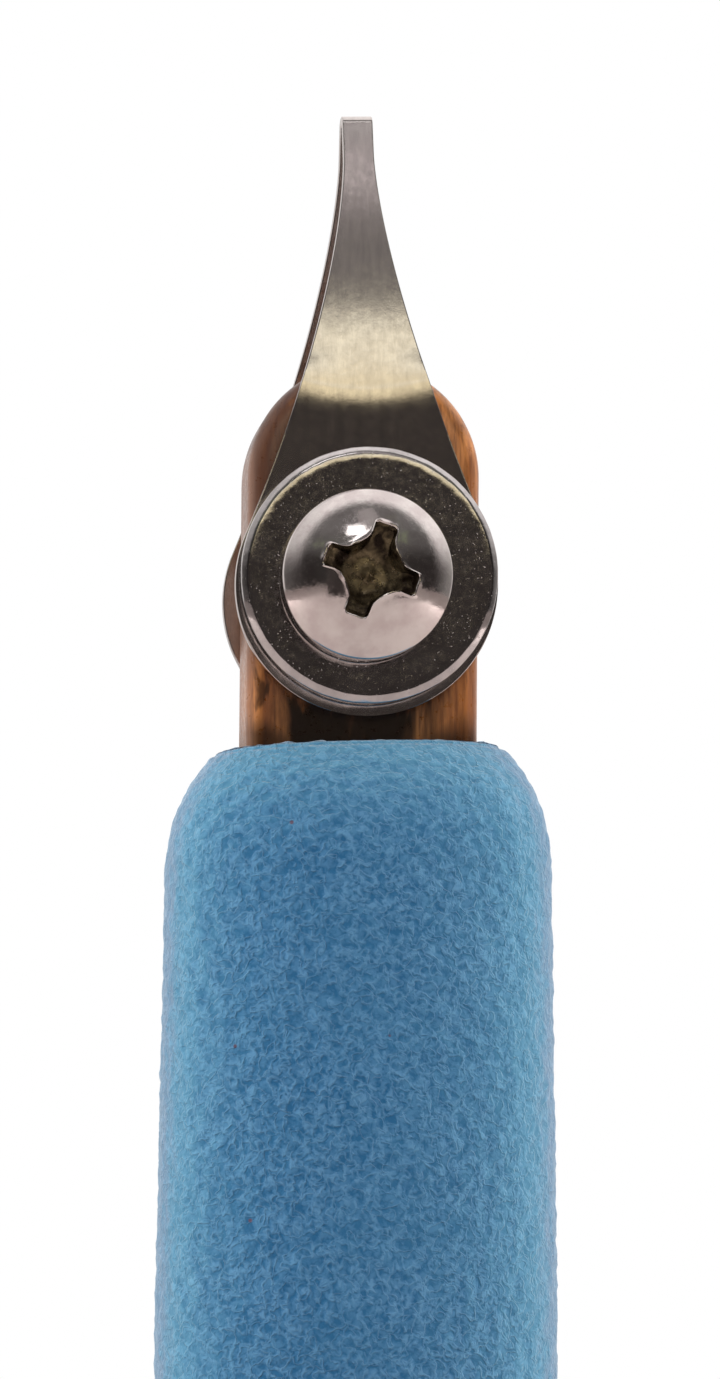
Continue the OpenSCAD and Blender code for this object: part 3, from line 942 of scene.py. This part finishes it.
def spring_material():
    """Dark oiled spring steel"""
    material, shader = new_material("oiled_spring_steel")
    place = shader.millimetres()
    stain = shader.noise(place, 0.8, 4.0, 0.65)
    colour = shader.mix(shader.span(stain, 0.3, 0.7), srgb(70, 66, 64), srgb(126, 120, 116))
    roughness = shader.span(shader.noise(place, 0.25, 4.0, 0.7), 0.3, 0.7, 0.25, 0.5)
    normal = shader.bump(stain, 0.02, 0.5)
    shader.surface(Base_Color=colour, Metallic=1.0, Roughness=roughness, Normal=normal)
    return material


# ---- studio ----

# The direction that flat metal facing -Y shows to the camera
MIRRORED_CAMERA = (0.154, -0.97, 0.19)


def studio_surroundings():
    """What the metal mirrors: dark behind the camera, a bright tent, pale and warm panels, a window"""
    world = bpy.data.worlds.new("studio")
    world.use_nodes = True
    bpy.context.scene.world = world
    shader = Shader(world.node_tree)
    direction = shader.add("TexCoord").outputs["Generated"]
    x, y, z = shader.add("SeparateXYZ", {0: direction}).outputs
    towards_camera = shader.times(y, -1.0)
    sideways = shader.times(shader.math("ARCTAN2", x, towards_camera), 180 / math.pi)
    upwards = shader.times(shader.math("ARCSINE", z), 180 / math.pi)
    straight = shader.add("VectorMath", {0: direction, 1: MIRRORED_CAMERA}, operation="DOT_PRODUCT")
    off_axis = shader.times(shader.math("ARCCOSINE", straight.outputs["Value"]), 180 / math.pi)

    def patch(left, right, low, high, soft):
        """1 inside a window of directions, in degrees from straight towards the camera"""
        sides = shader.times(shader.span(sideways, left - soft, left + soft),
                             shader.span(sideways, right - soft, right + soft, 1.0, 0.0))
        ends = shader.times(shader.span(upwards, low - soft, low + soft),
                            shader.span(upwards, high - soft, high + soft, 1.0, 0.0))
        return shader.times(sides, ends)

    colour = shader.mix(shader.span(upwards, 18, 34), (0.032, 0.028, 0.027, 1), (0.12, 0.114, 0.111, 1))
    colour = shader.mix(shader.span(upwards, 36, 48), colour, (0.17, 0.162, 0.16, 1))
    colour = shader.mix(shader.span(upwards, -15, -10, 1.0, 0.0), colour, (0.4, 0.35, 0.33, 1))
    blotches = shader.span(shader.noise(direction, 0.12, 3.0), 0.5, 0.62)
    both_sides = shader.plus(patch(-45, -14, 24, 36, 4), patch(26, 50, 24, 54, 4))
    colour = shader.mix(shader.times(blotches, both_sides), colour, (0.2, 0.22, 0.15, 1))
    from_left = shader.span(sideways, -50, 20, 0.35, 1.0)
    walls = shader.times(shader.span(off_axis, 54, 88), from_left)
    colour = shader.mix(walls, colour, (0.36, 0.34, 0.33, 1))
    far = shader.times(shader.span(off_axis, 82, 102), shader.span(upwards, -12, 4))
    colour = shader.mix(far, colour, (0.75, 0.72, 0.71, 1))
    tent = shader.times(shader.span(off_axis, 58, 68), shader.span(upwards, 8, 42))
    left_side = shader.span(shader.plus(sideways, upwards), -40, 30, 0.5, 1.0)
    tent = shader.times(tent, left_side)
    colour = shader.mix(tent, colour, (1.08, 1.03, 1.02, 1))
    colour = shader.mix(patch(-2, 26, 28, 52, 3), colour, (0.22, 0.2, 0.195, 1))
    colour = shader.mix(patch(-2, 26, 34.6, 38.2, 1.8), colour, (0.76, 0.68, 0.69, 1))
    colour = shader.mix(patch(-2, 26, 39.4, 66, 1.4), colour, (0.34, 0.31, 0.31, 1))
    warm = shader.mix(shader.span(upwards, 22, 25.4), (1.02, 0.87, 0.57, 1), (1.38, 1.3, 1.04, 1))
    warm = shader.mix(patch(-20, 40, 19, 21.8, 0.8), warm, (1.26, 1.1, 0.73, 1))
    colour = shader.mix(patch(-14, 32, 17.8, 26.8, 0.8), colour, warm)
    colour = shader.mix(patch(-14, 6, 40.5, 49.5, 1.2), colour, (2.6, 2.55, 2.55, 1))
    seen = shader.add("LightPath").outputs["Is Camera Ray"]
    colour = shader.mix(seen, colour, (1.0, 1.0, 1.0, 1))
    light = shader.add("Background", {"Color": colour, "Strength": 1.0}).outputs[0]
    shader.add("OutputWorld", {"Surface": light})


def soft_light(name, place, aim, size, watts):
    """A square studio lamp that lights matt surfaces but isn't mirrored in the metal"""
    lamp = bpy.data.objects.new(name, bpy.data.lights.new(name, "AREA"))
    bpy.context.scene.collection.objects.link(lamp)
    lamp.data.size = size
    lamp.data.energy = watts
    lamp.location = place
    lamp.rotation_euler = (Vector(aim) - Vector(place)).to_track_quat("-Z", "Y").to_euler()
    lamp.visible_glossy = False
    lamp.visible_camera = False


def studio_lamps():
    """Four soft lamps round the tool"""
    middle = (0, 0, RIM_HEIGHT * MM)
    soft_light("left_lamp", (-0.55, -0.12, 0.2), middle, 0.4, 3.2)
    soft_light("right_lamp", (0.55, -0.12, 0.2), middle, 0.4, 3.2)
    soft_light("front_lamp", (0, -0.7, 0.45), middle, 0.5, 3.0)
    soft_light("back_lamp", (0, 0.7, 0.4), middle, 0.5, 4.0)


def dark_card():
    """A black card on the camera's side, which keeps the flat metal dark"""
    left, right, low, high, away = -260, 420, 12, 255, -450
    corners = [(left, away, low), (right, away, low), (right, away, high), (left, away, high)]
    card = make_object("dark_card", corners, [(0, 1, 2, 3)])
    material, shader = new_material("black_card")
    shade = shader.mix(shader.noise(shader.millimetres(), 40.0), srgb(34, 30, 29), srgb(42, 38, 36))
    shader.surface(Base_Color=shade, Roughness=0.9)
    card.data.materials.append(material)
    card.visible_camera = False
    card.visible_diffuse = False


def pale_floor():
    """A wide pale floor, evenly lit far from the tool, that can't be seen from underneath"""
    around = np.linspace(0, 2 * math.pi, 64, endpoint=False)
    radius, height = 3000, -0.2
    points = [(radius * math.cos(a), radius * math.sin(a), height) for a in around]
    floor = make_object("floor", points, [tuple(range(64))])
    material, shader = new_material("pale_floor")
    tint = shader.noise(shader.millimetres(), 90.0, 2.0)
    mirrored = shader.mix(tint, srgb(165, 155, 152), srgb(174, 164, 161))
    seen = shader.add("LightPath").outputs["Is Camera Ray"]
    away = shader.add("VectorMath", {0: shader.millimetres()}, operation="LENGTH").outputs["Value"]
    shaded = shader.mix(tint, srgb(140, 138, 137), srgb(148, 146, 145))
    shaded = shader.mix(shader.span(away, 150, 600), shaded, (0.05, 0.05, 0.05, 1))
    matt = shader.add("BsdfDiffuse", {"Color": shader.mix(seen, mirrored, shaded)}).outputs[0]
    bright = shader.times(seen, shader.span(away, 150, 600, 0.6, 0.93))
    glow = shader.add("Emission", {"Color": (1.0, 0.985, 0.98, 1), "Strength": bright})
    matt = shader.add("AddShader", {0: matt, 1: glow.outputs[0]}).outputs[0]
    clear = shader.add("BsdfTransparent").outputs[0]
    under = shader.add("NewGeometry").outputs["Backfacing"]
    shown = shader.add("MixShader", {0: under, 1: matt, 2: clear}).outputs[0]
    shader.add("OutputMaterial", {"Surface": shown})
    floor.data.materials.append(material)


# The picture plane lies parallel to the tool's face, so the lens is shifted, not the camera turned
CAMERA_PLACE = Vector((-41.9, -262.12, RIM_HEIGHT - 41.86)) * MM
CAMERA_ROLL = 0.0085
CAMERA_LENS = 120.96
CAMERA_SHIFT = (0.5437, 0.5772)


def studio_camera():
    """The camera, low and to the left of the screw, square on to the tool's face"""
    camera = bpy.data.objects.new("camera", bpy.data.cameras.new("camera"))
    bpy.context.scene.collection.objects.link(camera)
    camera.location = CAMERA_PLACE
    camera.rotation_euler = (math.pi / 2, -CAMERA_ROLL, 0)
    camera.data.lens = CAMERA_LENS
    camera.data.clip_start = 0.01
    for path, shift in zip(("shift_x", "shift_y"), CAMERA_SHIFT):
        keep_shift_at_home(camera, path, shift)
    bpy.context.scene.camera = camera


def keep_shift_at_home(camera, path, shift):
    """Drives a lens shift so that it drops to nothing when the camera is moved to another view"""
    driver = camera.data.driver_add(path).driver
    driver.type = "SCRIPTED"
    place = driver.variables.new()
    place.name = "place"
    place.type = "TRANSFORMS"
    place.targets[0].id = camera
    place.targets[0].transform_type = "LOC_Y"
    home = CAMERA_PLACE[1]
    driver.expression = f"{shift} if abs(place - {home:.5f}) < 0.0001 else 0.0"


def main():
    bpy.context.scene.view_settings.view_transform = "Standard"
    speckled_steel = washer_material()
    nickel_plate = screw_material()
    foam_sleeve(foam_material())
    wooden_core(wood_material())
    folded_blade(blade_material())
    flat_washer("washer_front", "front_washer", "front_stack", -1, 7, speckled_steel)
    flat_washer("washer_back", "back_washer", "back_stack", 1, 9, speckled_steel)
    clamp_screw(nickel_plate, recess_material())
    spring_washer(spring_material())
    hex_nut(nickel_plate)
    pale_floor()
    dark_card()
    studio_surroundings()
    studio_lamps()
    studio_camera()


main()
